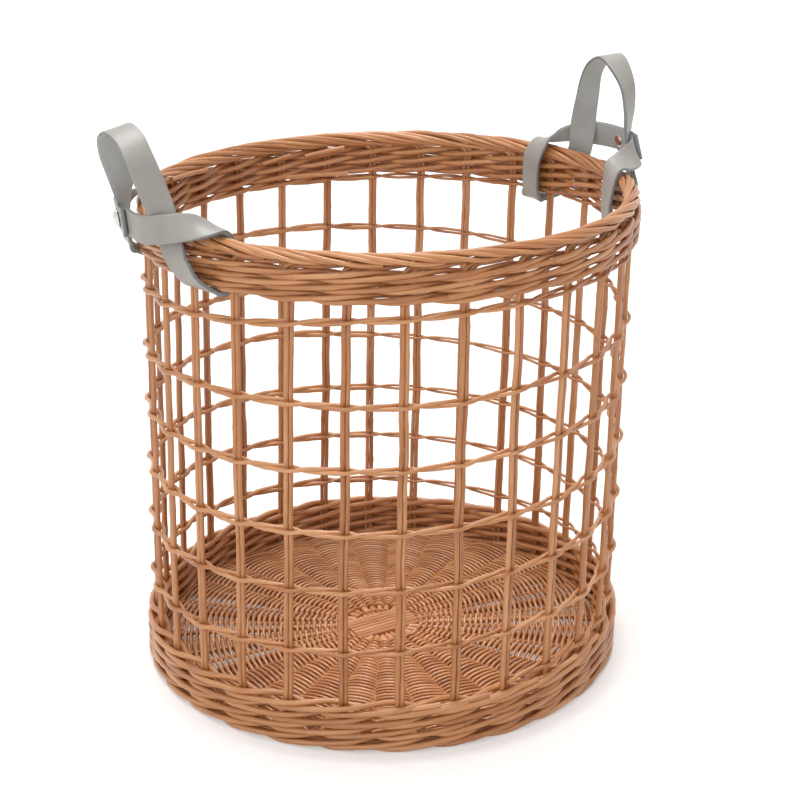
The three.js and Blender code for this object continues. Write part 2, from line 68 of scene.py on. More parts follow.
def on_wall(turn, out, height):
    """Points in metres, from angles round the basket and millimetres outside the stakes and up."""
    turn, out, height = np.broadcast_arrays(
        np.asarray(turn, float), np.asarray(out, float), np.asarray(height, float)
    )
    lean = LEAN * (height / BORDER_Z - 0.5)
    x = (WALL_R + out) * np.cos(turn) + lean * math.cos(LEAN_TURN)
    y = (WALL_R + out) * np.sin(turn) + lean * math.sin(LEAN_TURN)
    return MM * np.stack([x, y, height], axis=-1)


def wander(count, step, reach, size):
    """Slow random drift for count points that lie a step apart, smooth over a reach."""
    knots = max(4, int(count * step / reach) + 4)
    values = rng.normal(0.0, size, knots)
    at = np.linspace(0, knots - 1, count)
    i = np.clip(at.astype(int), 0, knots - 2)
    t = at - i
    t = t * t * (3 - 2 * t)
    return values[i] * (1 - t) + values[i + 1] * t


def linear(hex_colour):
    """An sRGB hex colour as the linear values a shader takes."""
    parts = [int(hex_colour[i : i + 2], 16) / 255 for i in (1, 3, 5)]
    return [p / 12.92 if p <= 0.04045 else ((p + 0.055) / 1.055) ** 2.4 for p in parts] + [1.0]


def add_node(tree, kind, sockets=None, **settings):
    """Adds a node with its settings. A socket takes a plain value or another node's output."""
    made = tree.nodes.new(kind)
    for setting, value in settings.items():
        setattr(made, setting, value)
    for key, value in (sockets or {}).items():
        if isinstance(value, bpy.types.NodeSocket):
            tree.links.new(value, made.inputs[key])
        else:
            made.inputs[key].default_value = value
    return made


def willow(name, dark, middle, light, roughness):
    """Buff willow, boiled, peeled and varnished: satin, speckled, with faint streaks along it."""
    made = bpy.data.materials.new(name)
    made.use_nodes = True
    tree = made.node_tree
    tree.nodes.clear()
    skin = add_node(tree, "ShaderNodeAttribute", attribute_name="skin")
    rod = add_node(tree, "ShaderNodeAttribute", attribute_name="rod_shade")
    # In skin space X and Y go once round the rod and Z runs along it in metres, apart for each rod.
    apart = add_node(tree, "ShaderNodeCombineXYZ", {2: rod.outputs["Fac"]})
    far = add_node(
        tree,
        "ShaderNodeVectorMath",
        {0: apart.outputs[0], "Scale": ROD_APART},
        operation="SCALE",
    )
    spot = add_node(
        tree,
        "ShaderNodeVectorMath",
        {0: skin.outputs["Vector"], 1: far.outputs[0]},
        operation="ADD",
    )
    # Patches 60 mm long where the peeled rod dried lighter or darker.
    patch_at = add_node(
        tree, "ShaderNodeMapping", {0: spot.outputs[0], "Scale": (0.35, 0.35, 1000 / 60)}
    )
    patch = add_node(
        tree,
        "ShaderNodeTexNoise",
        {"Vector": patch_at.outputs[0], "Scale": 1.0, "Detail": 3.0, "Roughness": 0.6},
    )
    # Fibre streaks 14 mm long and three quarters of a millimetre wide.
    streak_at = add_node(
        tree, "ShaderNodeMapping", {0: spot.outputs[0], "Scale": (2.4, 2.4, 1000 / 14)}
    )
    streak = add_node(
        tree,
        "ShaderNodeTexNoise",
        {"Vector": streak_at.outputs[0], "Scale": 1.0, "Detail": 4.0, "Roughness": 0.6},
    )
    # Rubbed-off buds leave a speck 2 mm long about every 35 mm.
    bud_at = add_node(
        tree, "ShaderNodeMapping", {0: spot.outputs[0], "Scale": (0.5, 0.5, 1000 / 35)}
    )
    bud = add_node(
        tree,
        "ShaderNodeTexVoronoi",
        {"Vector": bud_at.outputs[0], "Scale": 1.0, "Randomness": 1.0},
        feature="F1",
    )
    near_bud = {"From Min": 0.03, "From Max": 0.1, "To Min": 0.7, "To Max": 0.0}
    speck = add_node(
        tree,
        "ShaderNodeMapRange",
        {"Value": bud.outputs["Distance"], **near_bud},
        interpolation_type="SMOOTHSTEP",
    )
    # Each rod has a shade of its own, and its patches and streaks lie over that.
    blend = add_node(tree, "ShaderNodeMath", {0: patch.outputs[0], 1: 0.6}, operation="MULTIPLY")
    mixed = add_node(
        tree,
        "ShaderNodeMath",
        {0: streak.outputs[0], 1: 0.4, 2: blend.outputs[0]},
        operation="MULTIPLY_ADD",
    )
    tone = add_node(
        tree,
        "ShaderNodeMath",
        {0: rod.outputs["Fac"], 1: 0.11, 2: mixed.outputs[0]},
        operation="MULTIPLY_ADD",
    )
    ramp = add_node(tree, "ShaderNodeValToRGB", {0: tone.outputs[0]})
    ramp.color_ramp.elements[0].position = 0.3
    ramp.color_ramp.elements[0].color = linear(dark)
    ramp.color_ramp.elements[1].position = 0.72
    ramp.color_ramp.elements[1].color = linear(light)
    ramp.color_ramp.elements.new(0.5).color = linear(middle)
    specked = add_node(
        tree,
        "ShaderNodeMix",
        {"Factor": speck.outputs[0], 6: ramp.outputs[0], 7: linear(BUD_COLOUR)},
        data_type="RGBA",
    )
    uneven = add_node(
        tree,
        "ShaderNodeMapRange",
        {"Value": streak.outputs[0], "To Min": roughness - 0.12, "To Max": roughness + 0.14},
    )
    relief = add_node(
        tree,
        "ShaderNodeMath",
        {0: speck.outputs[0], 1: 0.5, 2: streak.outputs[0]},
        operation="MULTIPLY_ADD",
    )
    bump = add_node(
        tree,
        "ShaderNodeBump",
        {"Strength": 0.4, "Distance": 0.0002, "Height": relief.outputs[0]},
    )
    surface = add_node(
        tree,
        "ShaderNodeBsdfPrincipled",
        {
            "Base Color": specked.outputs[2],
            "Roughness": uneven.outputs[0],
            "Normal": bump.outputs[0],
            "IOR": 1.47,
            "Coat Weight": 0.4,
            "Coat Roughness": 0.24,
        },
    )
    add_node(tree, "ShaderNodeOutputMaterial", {"Surface": surface.outputs[0]})
    return made


# Varnished buff willow looks warm orange-tan, with a soft white glint along each rod. How far
# apart the rods lie in the pattern keeps two rods from showing the same streaks.
ROD_APART = 37.0
BUD_COLOUR = "#5A2C14"
buff_willow = willow("varnished_buff_willow", "#A26236", "#C28451", "#DAA171", 0.38)


def rod_tree():
    """A tree that sweeps a round rod along each line of points, as thick as its girth says."""
    tree = bpy.data.node_groups.new("willow_rod", "GeometryNodeTree")
    tree.is_modifier = True
    face = tree.interface
    face.new_socket("Lines", in_out="INPUT", socket_type="NodeSocketGeometry")
    sides = face.new_socket("Sides", in_out="INPUT", socket_type="NodeSocketInt")
    sides.default_value = 10
    wrinkle = face.new_socket("Wrinkle height", in_out="INPUT", socket_type="NodeSocketFloat")
    wrinkle.default_value = 0.00012
    seed = face.new_socket("Seed", in_out="INPUT", socket_type="NodeSocketFloat")
    seed.default_value = 4.0
    face.new_socket("Material", in_out="INPUT", socket_type="NodeSocketMaterial")
    face.new_socket("Rods", in_out="OUTPUT", socket_type="NodeSocketGeometry")
    given = add_node(tree, "NodeGroupInput")
    ring = add_node(
        tree,
        "GeometryNodeCurvePrimitiveCircle",
        {"Resolution": given.outputs["Sides"], "Radius": 1.0},
    )
    place = add_node(tree, "GeometryNodeInputPosition")
    round_ring = add_node(
        tree,
        "GeometryNodeStoreNamedAttribute",
        {"Geometry": ring.outputs[0], "Name": "ring", "Value": place.outputs[0]},
        data_type="FLOAT_VECTOR",
    )
    girth = add_node(tree, "GeometryNodeInputNamedAttribute", {"Name": "girth"}, data_type="FLOAT")
    line = add_node(tree, "GeometryNodeMeshToCurve", {"Mesh": given.outputs["Lines"]})
    swept = add_node(
        tree,
        "GeometryNodeCurveToMesh",
        {
            "Curve": line.outputs[0],
            "Profile Curve": round_ring.outputs[0],
            "Scale": girth.outputs[0],
            "Fill Caps": True,
        },
    )
    # The skin's place: X and Y round the rod, Z along it.
    turn = add_node(
        tree, "GeometryNodeInputNamedAttribute", {"Name": "ring"}, data_type="FLOAT_VECTOR"
    )
    along = add_node(tree, "GeometryNodeInputNamedAttribute", {"Name": "along"}, data_type="FLOAT")
    parts = add_node(tree, "ShaderNodeSeparateXYZ", {0: turn.outputs[0]})
    skin = add_node(
        tree,
        "ShaderNodeCombineXYZ",
        {0: parts.outputs[0], 1: parts.outputs[1], 2: along.outputs[0]},
    )
    marked = add_node(
        tree,
        "GeometryNodeStoreNamedAttribute",
        {"Geometry": swept.outputs[0], "Name": "skin", "Value": skin.outputs[0]},
        data_type="FLOAT_VECTOR",
    )
    # Drying left each rod very slightly wrinkled, with dents about 4 mm apart.
    crumple = add_node(
        tree,
        "ShaderNodeTexNoise",
        {"Scale": 260.0, "Detail": 1.0, "W": given.outputs["Seed"]},
        noise_dimensions="4D",
    )
    height = add_node(tree, "ShaderNodeMath", {0: crumple.outputs[0], 1: 0.5}, operation="SUBTRACT")
    lift = add_node(
        tree,
        "ShaderNodeMath",
        {0: height.outputs[0], 1: given.outputs["Wrinkle height"]},
        operation="MULTIPLY",
    )
    normal = add_node(tree, "GeometryNodeInputNormal")
    offset = add_node(
        tree,
        "ShaderNodeVectorMath",
        {0: normal.outputs[0], "Scale": lift.outputs[0]},
        operation="SCALE",
    )
    rough = add_node(
        tree,
        "GeometryNodeSetPosition",
        {"Geometry": marked.outputs[0], "Offset": offset.outputs[0]},
    )
    soft = add_node(tree, "GeometryNodeSetShadeSmooth", {"Geometry": rough.outputs[0]})
    whole = add_node(tree, "GeometryNodeRealizeInstances", {"Geometry": soft.outputs[0]})
    done = add_node(
        tree,
        "GeometryNodeSetMaterial",
        {"Geometry": whole.outputs[0], "Material": given.outputs["Material"]},
    )
    add_node(tree, "NodeGroupOutput", {0: done.outputs[0]})
    return tree


rods_from_lines = rod_tree()


def keep_as_mesh(piece):
    """Turns a piece with its modifiers into a plain mesh object of the same name."""
    bpy.context.view_layer.update()
    evaluated = piece.evaluated_get(bpy.context.evaluated_depsgraph_get())
    mesh = bpy.data.meshes.new_from_object(evaluated)
    name = piece.name
    bpy.data.objects.remove(piece)
    mesh.name = name
    made = bpy.data.objects.new(name, mesh)
    bpy.context.scene.collection.objects.link(made)
    return made


def lay_rods(name, rods, replaced, sides=10):
    """Makes one piece of rods, each given as (points in metres, radii, shade from -1 to 1)."""
    points = np.concatenate([line for line, radii, shade in rods])
    girth = MM * np.concatenate([radii for line, radii, shade in rods])
    shades = np.concatenate([np.full(len(line), shade) for line, radii, shade in rods])
    runs, edges = [], []
    first = 0
    for line, radii, shade in rods:
        steps = np.linalg.norm(np.diff(line, axis=0), axis=1)
        runs.append(np.concatenate([[0.0], np.cumsum(steps)]))
        edges += [(first + i, first + i + 1) for i in range(len(line) - 1)]
        first += len(line)
    along = np.concatenate(runs)
    # The lowest rods rest on the floor.
    points[:, 2] = np.maximum(points[:, 2], girth)
    mesh = bpy.data.meshes.new(name)
    mesh.from_pydata(points.tolist(), edges, [])
    for key, values in (("girth", girth), ("along", along), ("rod_shade", shades)):
        attribute = mesh.attributes.new(key, "FLOAT", "POINT")
        attribute.data.foreach_set("value", values.astype(np.float32))
    piece = bpy.data.objects.new(name, mesh)
    bpy.context.scene.collection.objects.link(piece)
    sweep = piece.modifiers.new("rods", "NODES")
    sweep.node_group = rods_from_lines
    sockets = rods_from_lines.interface.items_tree
    inputs = {socket.name: socket.identifier for socket in sockets if socket.in_out == "INPUT"}
    sweep[inputs["Sides"]] = sides
    sweep[inputs["Seed"]] = float(rng.uniform(0, 50))
    sweep[inputs["Material"]] = buff_willow
    made = keep_as_mesh(piece)
    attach(made, "basket")
    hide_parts(replaced)


def tapered(count, butt, tip):
    """A rod's radii from its thick end to its thin one, with small swellings where buds grew."""
    radii = np.linspace(butt, tip, count) * (1 + wander(count, 3.0, 60.0, 0.025))
    for bud in range(7, count - 7, int(rng.integers(9, 17))):
        radii[bud - 1 : bud + 2] += np.array([0.05, 0.12, 0.04]) * butt
    return radii


stick_rods = []
for k in range(STAKES):
    reach = np.linspace(HUB_R - 6, BASE_EDGE_R - 1.5, STICK_POINTS)
    turn = k * SPACING + wander(STICK_POINTS, 4.0, 50.0, 0.4) / reach
    height = BASE_MID_Z + wander(STICK_POINTS, 4.0, 60.0, 0.1)
    radii = tapered(STICK_POINTS, STICK_BUTT_R, STICK_TIP_R)
    stick_rods.append((on_wall(turn, reach - WALL_R, height), radii, rng.uniform(-1, 1)))
# The bound cross in the middle: two layers of seven sticks, side by side.
for layer, lift in enumerate((CROSS_LIFT, -CROSS_LIFT)):
    for j in range(CROSS_STICKS):
        off = np.full(CROSS_POINTS, (j - 3) * CROSS_PITCH)
        run = np.linspace(-HUB_R, HUB_R, CROSS_POINTS)
        x, y = (run, off) if layer == 0 else (off, run)
        lean = LEAN * (BASE_MID_Z / BORDER_Z - 0.5)
        x = x + lean * math.cos(LEAN_TURN)
        y = y + lean * math.sin(LEAN_TURN)
        points = MM * np.stack([x, y, np.full(CROSS_POINTS, BASE_MID_Z + lift)], axis=-1)
        radii = tapered(CROSS_POINTS, CROSS_BUTT_R, CROSS_TIP_R)
        stick_rods.append((points, radii, rng.uniform(-1, 1)))
lay_rods("base_sticks_willow", stick_rods, "base_sticks")

# The base's weave. Thin rods are paired round the sticks, one over and one under each stick in
# turn, from the cross in the middle out to the wall. The last rods are packed three deep against
# the wall.
WEAVE_ROD_R = 1.45
WEAVE_PITCH = 4.8
WEAVE_START_R = HUB_R + 4.5
WEAVE_END_R = 184.6
# Half the height of a stick, where the rods press on it.
PRESSED_STICK_R = 2.1
SIDE_BULGE = 1.25
# Each round starts this far round from the one before, in radians.
ROUND_TURN = 0.37
PACKED_ROD_R = 1.5
PACKED_ROD_Z = (2.0, 4.7, 7.4)
base_rods = []
rings = int((WEAVE_END_R - WEAVE_START_R) / WEAVE_PITCH) + 1
count = STAKES * 8 + 1
for ring in range(rings):
    radius = WEAVE_START_R + ring * (WEAVE_END_R - WEAVE_START_R) / (rings - 1)
    for strand in (0, 1):
        turn = np.linspace(0, 2 * math.pi, count) + ring * ROUND_TURN
        phase = turn / SPACING * math.pi + (strand + ring) * math.pi
        wave, twist = np.cos(phase), np.sin(phase)
        lift = (PRESSED_STICK_R + WEAVE_ROD_R - 0.1) * np.sign(wave) * np.abs(wave) ** 0.6
        side = SIDE_BULGE * twist * min(1.0, radius / 90.0)
        points = on_wall(turn, radius + side - WALL_R, BASE_MID_Z + 0.05 + lift)
        radii = WEAVE_ROD_R * (1 + wander(count, 5.0, 90.0, 0.05))
        base_rods.append((points, radii, rng.uniform(-1, 1)))
# These packed rods take their shade only from the darker half, as painted shade in the slits
# between the strands.
for height in PACKED_ROD_Z:
    turn = np.linspace(0, 2 * math.pi, STAKES * 3 + 1) + height
    out = WEAVE_END_R + 0.3 + wander(len(turn), 14.0, 90.0, 0.2) - WALL_R
    radii = PACKED_ROD_R * np.ones(len(turn))
    base_rods.append((on_wall(turn, out, height), radii, rng.uniform(-1, 0)))
lay_rods("base_weave_willow", base_rods, "base_weave", sides=6)

# The stakes. A stout rod and a thinner one stand side by side in every pair. The stout one bends
# up out of the base. At the rim both tails are rolled on round the border: inside, over the top
# and down the outside of the next three, with the tips tucked in under the rods that follow.
STAKE_R = 2.3
STAKE_TOP_R = 2.0
TAIL_TIP_R = 1.9
BYE_R = 1.75
BYE_TOP_R = 1.65
BYE_TIP_R = 1.75
STAKE_OFF = -1.8
BYE_OFF = 2.15
COIL_R = 4.7
TAIL_SPACINGS = 3.75
BYE_SPACINGS = 3.9
# How far apart the points of a rod's line lie, the height where a stake is thinnest, the heights
# where it is bent a little out of true, and its line under the base and up out of it.
ROD_STEP = 3.0
THIN_Z = 385
UPRIGHT_Z = np.linspace(30, 372, 12)
FOOT_KNOTS = (
    (-4.9, -22, 4.4), (-4.6, -10, 3.0), (-3.7, -4.2, 2.5), (-2.4, -0.9, 4.2), (STAKE_OFF, 0, 9.5),
)


def smooth_path(knots, spacing):
    """A smooth curve through the knots, with a point about every spacing."""
    knots = np.asarray(knots, float)
    chord = np.linalg.norm(np.diff(knots[:, :3], axis=0), axis=1)
    at = np.concatenate([[0.0], np.cumsum(np.maximum(chord, 1e-6))])
    slope = np.gradient(knots, at, axis=0)
    count = max(2, int(math.ceil(at[-1] / spacing)) + 1)
    wanted = np.linspace(0.0, at[-1], count)
    i = np.clip(np.searchsorted(at, wanted, side="right") - 1, 0, len(at) - 2)
    gap = (at[i + 1] - at[i])[:, None]
    t = (wanted - at[i])[:, None] / gap
    start, end = knots[i], knots[i + 1]
    return (
        (2 * t**3 - 3 * t**2 + 1) * start
        + (t**3 - 2 * t**2 + t) * gap * slope[i]
        + (-2 * t**3 + 3 * t**2) * end
        + (t**3 - t**2) * gap * slope[i + 1]
    )


def rolled_tail(start, spacings, swell, lag, dip, lift, phase):
    """Knots of a tail in the border's coil: a quarter turn about the rim for each stake passed."""
    knots = []
    for run in np.arange(0.12, spacings, 0.16):
        coil = -math.pi / 2 * (1 + run) + lag * min(1.0, run / 0.5)
        # Over the last two thirds of a spacing the tip is tucked in.
        tuck = min(1.0, max(0.0, (run - spacings + 0.65) / 0.65))
        ripple = 0.2 * math.sin(3.1 * run + phase)
        reach = (swell + ripple) * (1 - 0.55 * tuck * tuck * (3 - 2 * tuck))
        reach += dip * max(0.0, 1 - run / 0.8)
        along = start + run * SPACING * WALL_R
        out, up = reach * math.cos(coil), reach * math.sin(coil)
        knots.append((along, out, BORDER_Z + up + lift * min(1, run)))
    return knots


for k in range(STAKES):
    turn = k * SPACING
    tremble = rng.normal(0, 0.35, (len(UPRIGHT_Z), 2))
    tilt = np.clip(rng.normal(0, 1.3), -1.6, 1.6) * np.linspace(-0.5, 1, len(UPRIGHT_Z))
    sway = tremble + tilt[:, None] * [1, 0]
    knots = list(FOOT_KNOTS)
    for i, height in enumerate(UPRIGHT_Z):
        knots.append((STAKE_OFF + sway[i, 0], 0.4 * sway[i, 1], height))
    knots.append((STAKE_OFF + 0.4, 0, BORDER_Z - COIL_R - 3.2))
    lift = rng.uniform(-0.4, 0.4)
    knots += rolled_tail(STAKE_OFF, TAIL_SPACINGS, COIL_R, 0.0, 0.0, lift, k)
    path = smooth_path(knots, ROD_STEP)
    upright = np.interp(np.maximum.accumulate(path[:, 2]), [0, THIN_Z], [STAKE_R, STAKE_TOP_R])
    bent = np.clip((path[:, 0] - STAKE_OFF) / (TAIL_SPACINGS * SPACING * WALL_R), 0, 1)
    tail = STAKE_TOP_R + (TAIL_TIP_R - STAKE_TOP_R) * bent + 9 * (bent <= 0)
    radii = np.minimum(upright, tail) * tapered(len(path), 1.0, 1.0)
    stake = (on_wall(turn + path[:, 0] / WALL_R, path[:, 1], path[:, 2]), radii, rng.uniform(-1, 1))
    gape = rng.uniform(-0.1, 0.6)
    knots = [(BYE_OFF + sway[0, 0], 0, 5.5)]
    for i, height in enumerate(UPRIGHT_Z):
        part = i / (len(UPRIGHT_Z) - 1)
        knots.append((BYE_OFF + (gape - 0.65) * part + sway[i, 0], 0.4 * sway[i, 1], height))
    knots.append((BYE_OFF - 0.4, 0, BORDER_Z - COIL_R - 5.5))
    knots += rolled_tail(BYE_OFF, BYE_SPACINGS, COIL_R - 0.2, math.pi / 4, 1.3, -lift, k + 2)
    path = smooth_path(knots, ROD_STEP)
    upright = np.interp(np.maximum.accumulate(path[:, 2]), [0, THIN_Z], [BYE_R, BYE_TOP_R])
    bent = np.clip((path[:, 0] - BYE_OFF - 3) / (BYE_SPACINGS * SPACING * WALL_R), 0, 1)
    radii = (upright + (BYE_TIP_R - BYE_TOP_R) * bent) * tapered(len(path), 1.0, 1.0)
    bye = (on_wall(turn + path[:, 0] / WALL_R, path[:, 1], path[:, 2]), radii, rng.uniform(-1, 1))
    node = f"stake_pair_{k + 1:02d}"
    lay_rods(f"{node}_willow", [stake, bye], node)

# The waling. Three rods are worked round in turn, each in front of two pairs and behind the third,
# and the next round is beaten down on it. The band at the foot uses stouter rods than the one
# under the border, and its inside strands ride over the bent feet of the stakes.
# Half the width of a pair, as the rods go round it.
PAIR_EDGE = 5.1
# A round's rod: the height that it takes up in the band, how far its line lies in front of the
# stakes and behind them, and its radius.
FOOT_ROD = {"width": 4.4, "front": 5.7, "behind": 4.5, "r": 2.48}
FOOT_Z = 5.14
FOOT_PITCH = 9.6
FOOT_INSIDE_LIFT = 2.47
FOOT_BUTTS = ((19.71, 38.2), (20.61, 38.8), (21.65, 38.3), (22.73, 39.6), (23.58, 41.2))
FOOT_BUTT_R = 2.1
RIM_ROD = {"width": 3.5, "front": 5.2, "behind": 4.2, "r": 2.15}
RIM_BAND_Z = 361.1
RIM_HALF_ROUND = 4.12
RIM_PITCH = 8.0
# How many points a rod has, at least and less than, and the fewest that make a last rod.
ROD_POINTS = (330, 420)
LEAST_POINTS = 120


def wale_round(height, rod, inside_lift, phase):
    """One round of three-rod waling as a single rod that winds three times round the basket."""
    front_rise = (rod["width"] + 0.3) / 1.6
    back_fall = rod["width"] + 0.3 - front_rise + 0.05
    knots = []
    for step in range(-1, 3 * STAKES + 1):
        along = step * SPACING * WALL_R
        place = (step + phase) % 3
        rise = rng.normal(0, 0.3)
        if place == 0:
            low = height - front_rise + rise
            knots.append((along - PAIR_EDGE, rod["front"] - 0.5, low))
            low = height - 0.72 * front_rise + rise
            knots.append((along + 0.3 * PAIR_EDGE, rod["front"], low))
        if place == 1:
            high = height + 0.72 * front_rise + rise
            knots.append((along - 0.3 * PAIR_EDGE, rod["front"], high))
            high = height + front_rise + rise
            knots.append((along + PAIR_EDGE, rod["front"] - 0.5, high))
        if place == 2:
            back = height + inside_lift
            knots.append((along - PAIR_EDGE, -rod["behind"], back + 0.5 * back_fall))
            knots.append((along + PAIR_EDGE, -rod["behind"], back - 0.5 * back_fall))
    path = smooth_path(knots, ROD_STEP)
    points = on_wall(path[:, 0] / WALL_R, path[:, 1], path[:, 2])
    # Thickness and shade start anew with each rod along the line.
    rods = []
    first = 0
    while first < len(points) - 1:
        last = min(len(points), first + int(rng.integers(*ROD_POINTS)))
        if len(points) - last < LEAST_POINTS:
            last = len(points)
        radii = tapered(last - first, 1.06 * rod["r"], 0.9 * rod["r"])
        rods.append((points[first:last], radii, rng.uniform(-1, 1)))
        first = last - 1
    return rods


def butt_end(knots, radius):
    """A rod's end, cut square, by knots of (stakes counted round, out from them, height)."""
    knots = [(stakes * SPACING * WALL_R, out, height) for stakes, out, height in knots]
    path = smooth_path(knots, ROD_STEP)
    points = on_wall(path[:, 0] / WALL_R, path[:, 1], path[:, 2])
    return points, np.linspace(0.95 * radius, radius, len(points)), rng.uniform(0, 1)


# The last rods' cut ends lie on the foot band, between the stakes.
foot_butts = []
for stakes, height in FOOT_BUTTS:
    knots = [(stakes - 1.2, 0.5, 33.0), (stakes - 0.9, 3.4, 35.4)]
    knots += [(stakes - 0.42, 5.0, height - 1.2), (stakes, 5.2, height)]
    foot_butts.append(butt_end(knots, FOOT_BUTT_R))
# Two rods lie inside the bottom round, under the bend of the stakes and between them.
turn = np.linspace(0, 2 * math.pi, STAKES * 4 + 1)
drift = wander(len(turn), 11.0, 70.0, 0.1)
# Their rod shade is set dark, as painted shade where they show through the slits of the band.
cores = [
    (on_wall(turn, out, height + drift), radius * np.ones(len(turn)), -0.6)
    for out, height, radius in ((1.9, 2.7, 2.6), (-1.5, 4.8, 2.4))
]
for i, more in enumerate((cores, [], [], foot_butts)):
    node = f"base_wale_round_{i + 1}"
    rods = wale_round(FOOT_Z + i * FOOT_PITCH, FOOT_ROD, FOOT_INSIDE_LIFT, i) + more
    lay_rods(f"{node}_willow", rods, node)
# Inside, under the border, four more ends show.
low_butt = butt_end(
    [(7.05, -3.5, 364.5), (6.8, -6.3, 364.2), (6.2, -7.8, 363.8), (5.56, -8.1, 363.4)], 2.3
)
high_butts = [
    butt_end([(6.5, -5.5, 381.5), (6.15, -6.8, 383.5), (5.65, -8.4, 386.8)], 2.0),
    butt_end([(7.5, -5.5, 379.5), (7.2, -6.8, 381.5), (6.85, -7.8, 384.0)], 1.8),
    butt_end([(10.4, -6.4, 391.0), (9.7, -7.8, 388.8), (9.08, -8.0, 386.6)], 2.1),
]
for i, more in enumerate(([low_butt], [], high_butts)):
    node = f"rim_wale_round_{i + 1}"
    rods = wale_round(RIM_BAND_Z + RIM_HALF_ROUND + i * RIM_PITCH, RIM_ROD, 0.0, i) + more
    lay_rods(f"{node}_willow", rods, node)

# The fitching. Two thin rods wind up the wall in one open spiral and grip every pair between them,
# with a half turn about each other in each gap. New rods are laid in behind a stake, thick end
# first.
FITCH_R = 1.55
FITCH_STEP = 2.5
FITCH_ROWS = 7
# The thick and the thin end of a rod that runs out, and of the one that is laid in after it.
OLD_TAPER = (0.97, 0.78)
NEW_TAPER = (1.36, 0.97)
START_STAKE = 21
PASSES = 187
# The spiral's climb: how many pairs it has passed since its start, and its height there.
CLIMB = (
    (0, 44.5), (2, 47.5), (14, 63), (18, 69.5), (20.3, 73), (22, 77), (24.1, 82), (27, 85.5),
    (28, 87), (42, 109.5), (44.1, 117.5), (46, 121.5), (48, 125), (50.1, 129), (53, 134.5),
    (54.9, 136), (56, 138), (68.1, 154.8), (70.1, 159.5), (73, 169), (76.2, 177), (79, 179),
    (82, 182.8), (84, 186), (96.1, 206), (98.1, 215.5), (102, 224), (106.2, 228), (109, 231.8),
    (112, 237.5), (126, 262), (132.2, 275.3), (134, 280.3), (136, 282.3), (138, 283), (140, 286),
    (153.1, 313.5), (155.5, 317), (158, 326), (161, 332), (163, 337), (164.5, 346), (166, 350),
    (168, 353), (172, 356.8), (176, 357.6), (187, 357.8),
)
# One gap's twist, for the rod that goes from front to behind: share of the gap, out and up.
TWIST = (
    (0.0, 3.9, 0.0), (0.11, 3.5, 0.3), (0.27, 1.4, 0.95), (0.5, 0.0, 1.4), (0.73, -1.4, 0.95),
    (0.89, -3.5, 0.3),
)
climb = np.array(CLIMB)
wobble = rng.normal(0, 0.45, PASSES + 1)
bulge = rng.uniform(0.8, 1.15, PASSES + 1)


def level_at(passes):
    """The spiral's height after so many passes, evened out with what comes before and after."""
    near = [passes - 0.8, passes, passes + 0.8]
    return float(np.mean(np.interp(near, climb[:, 0], climb[:, 1])))


def fitching_rod(first, last, is_behind):
    """Knots of one rod of the spiral from one pass to a later one."""
    knots = []
    for step in range(first, last):
        face = -1 if (step % 2 == 0) == is_behind else 1
        for share, out, up in TWIST:
            at = step + share
            sag = wobble[step] * (1 - share) + wobble[step + 1] * share
            height = level_at(at) + face * up * bulge[step] + sag
            knots.append((at * SPACING * WALL_R, face * out, height))
    face = -1 if (last % 2 == 0) == is_behind else 1
    knots.append((last * SPACING * WALL_R, face * TWIST[0][1], level_at(last) + wobble[last]))
    return knots


for row in range(FITCH_ROWS):
    node = f"fitching_row_{row + 1}"
    first, last = row * STAKES, min((row + 1) * STAKES, PASSES)
    for letter, is_behind in (("a", True), ("b", False)):
        # The old rod's thin tip and the new rod's butt meet behind the same stake.
        meet = min(first + 11 + (letter == "b"), last - 2)
        meet += (meet % 2 == 0) != is_behind
        rods = []
        for begin, end, ends in ((first, meet, OLD_TAPER), (meet, last, NEW_TAPER)):
            path = smooth_path(fitching_rod(begin, end, is_behind), FITCH_STEP)
            turn = START_STAKE * SPACING + path[:, 0] / WALL_R
            points = on_wall(turn, path[:, 1], path[:, 2])
            radii = FITCH_R * tapered(len(points), *ends)
            rods.append((points, radii, rng.uniform(-1, 1)))
        lay_rods(f"{node}_{letter}_willow", rods, f"{node}_strand_{letter}")

# The handles. Each is one long strap of vegetable-tanned leather, 21.5 mm wide and 3 mm thick,
# tied round the rim band in a loose cow hitch, its two ends lapped and riveted. The smooth grain
# side faces out, the napped flesh side in, and the cut edges are dyed dark.
STRAP_W = 21.5
STRAP_T = 3.0
STRAP_STEP = 2.2
KNOT_STEPS = 24
# The long edges are rounded this much, and each flat face has lines of points this far across.
ARRIS_R = 0.9
FACE_LINES = (6.5, 3.2, 0, -3.2, -6.5)
